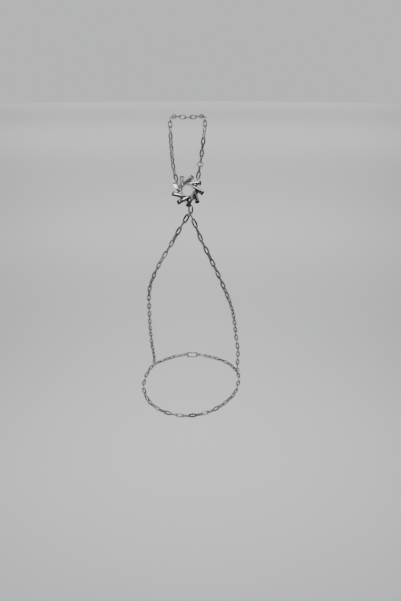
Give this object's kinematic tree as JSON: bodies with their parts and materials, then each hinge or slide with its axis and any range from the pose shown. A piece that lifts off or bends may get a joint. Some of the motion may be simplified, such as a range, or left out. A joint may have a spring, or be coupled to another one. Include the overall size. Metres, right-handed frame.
{
  "type": "hand chain bracelet",
  "caption": "Hand chain: fine cable chain in a finger loop, a pinwheel of bevelled bars, two diagonal chains and a chain round the wrist with a plain clasp.",
  "frame": {"origin": "centre of the finger loop, where the middle finger goes through", "axes": "+Z along the finger towards its tip, -Y out of the back of the hand, +X to the right of someone who looks at the back of the hand"},
  "size_m": [0.0609, 0.0601, 0.1551],
  "materials": {
    "pinwheel_metal": "polished silver-tone metal, cut facets",
    "chain_metal": "bright drawn wire, tumble polished"
  },
  "bodies": {
    "root": {"pinwheel": "pinwheel_metal", "finger_chain": "chain_metal", "finger_ring": "chain_metal", "finger_tail": "chain_metal", "top_link": "chain_metal", "junction_ring": "chain_metal", "left_chain": "chain_metal", "right_chain": "chain_metal", "side_ring_left": "chain_metal", "side_ring_right": "chain_metal", "bracelet_front": "chain_metal", "bracelet_back_left": "chain_metal", "bracelet_back_right": "chain_metal", "clasp_ring": "chain_metal", "clasp": "chain_metal"}
  },
  "joints": []
}
